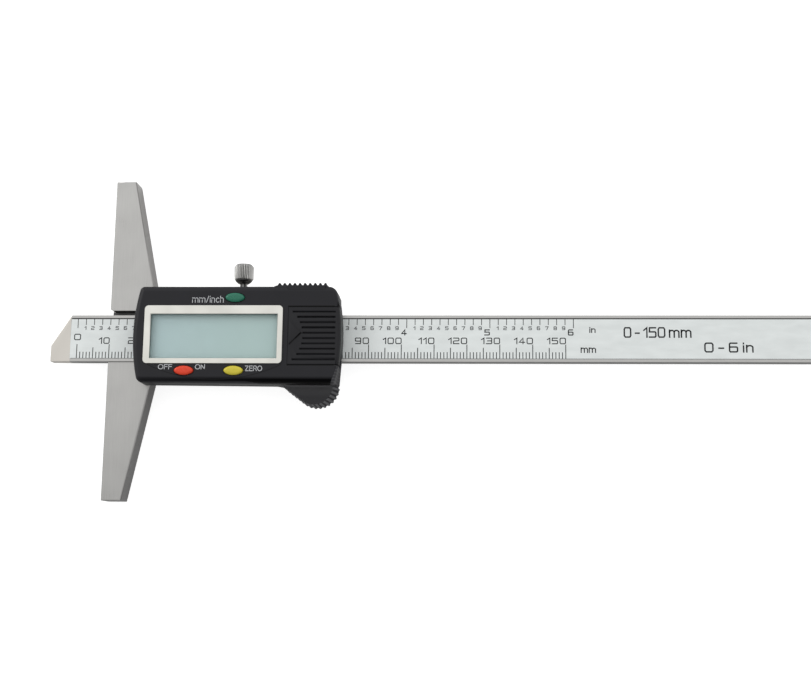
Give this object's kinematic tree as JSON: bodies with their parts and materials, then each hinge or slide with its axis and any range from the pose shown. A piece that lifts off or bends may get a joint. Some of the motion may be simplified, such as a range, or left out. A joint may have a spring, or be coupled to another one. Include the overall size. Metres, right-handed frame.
{
  "type": "digital depth caliper",
  "caption": "Digital depth caliper with a tapered steel base, a graduated sliding beam and a display housing with oval buttons and a knurled lock screw.",
  "frame": {"origin": "on the reference face of the base, at the middle of the beam's width, level with the flat back that it lies on", "axes": "+X along the beam away from what is measured, +Y towards the lock screw, +Z out of the display"},
  "size_m": [0.24, 0.0993, 0.0172],
  "materials": {
    "ground_steel": "satin, ground",
    "beam_steel": "satin, ground",
    "sheet_steel": "satin",
    "plated_screws": "satin, plated",
    "dark_screws": "blackened",
    "bronze": "satin",
    "cell_can": "bright",
    "board": "solder mask",
    "resin": "gloss",
    "contact_rubber": "matte",
    "lcd": "smooth",
    "lens": "clear",
    "bezel_plastic": "fine satin",
    "housing_plastic": "fine texture",
    "copper_laminate": "satin",
    "printed_film": "satin",
    "green_plastic": "satin",
    "red_plastic": "satin",
    "yellow_plastic": "satin"
  },
  "bodies": {
    "base": {"depth_base": "ground_steel", "gib_strip": "bronze", "gib_screws": "dark_screws", "keeper_plate": "sheet_steel", "board_screws": "plated_screws", "circuit_board": "board", "chip": "resin", "key_switches": "sheet_steel", "zebra_strips": "contact_rubber", "lcd_panel": "lcd", "display_window": "lens", "bezel": "bezel_plastic", "housing": "housing_plastic", "housing_screws": "plated_screws", "battery": "cell_can", "battery_side_contact": "bronze", "battery_base_contact": "bronze"},
    "beam": {"beam": "beam_steel", "stator_strip": "copper_laminate", "scale_film": "printed_film", "end_stop": "sheet_steel", "end_stop_screws": "plated_screws"},
    "lock_screw": {"lock_screw": "plated_screws"},
    "mode_button": {"mode_button": "green_plastic"},
    "power_button": {"power_button": "red_plastic"},
    "zero_button": {"zero_button": "yellow_plastic"},
    "battery_cover": {"battery_cover": "housing_plastic"}
  },
  "joints": [
    {"name": "beam_slide", "type": "slide", "parent": "base", "child": "beam", "axis": [1, 0, 0], "range_m": [-0.1322, 0.0178]},
    {"name": "lock_turn", "type": "hinge", "parent": "base", "child": "lock_screw", "pos_m": [0.0409, 0.0107, 0.0065], "axis": [0, -1, 0], "range_deg": [-180, 180]},
    {"name": "mode_press", "type": "slide", "parent": "base", "child": "mode_button", "axis": [0, 0, -1], "range_m": [0, 0.0005], "stiffness_N_per_m": 600},
    {"name": "power_press", "type": "slide", "parent": "base", "child": "power_button", "axis": [0, 0, -1], "range_m": [0, 0.0005], "stiffness_N_per_m": 600},
    {"name": "zero_press", "type": "slide", "parent": "base", "child": "zero_button", "axis": [0, 0, -1], "range_m": [0, 0.0005], "stiffness_N_per_m": 600},
    {"name": "battery_cover_slide", "type": "slide", "parent": "base", "child": "battery_cover", "axis": [1, 0, 0], "range_m": [0, 0.018]}
  ]
}
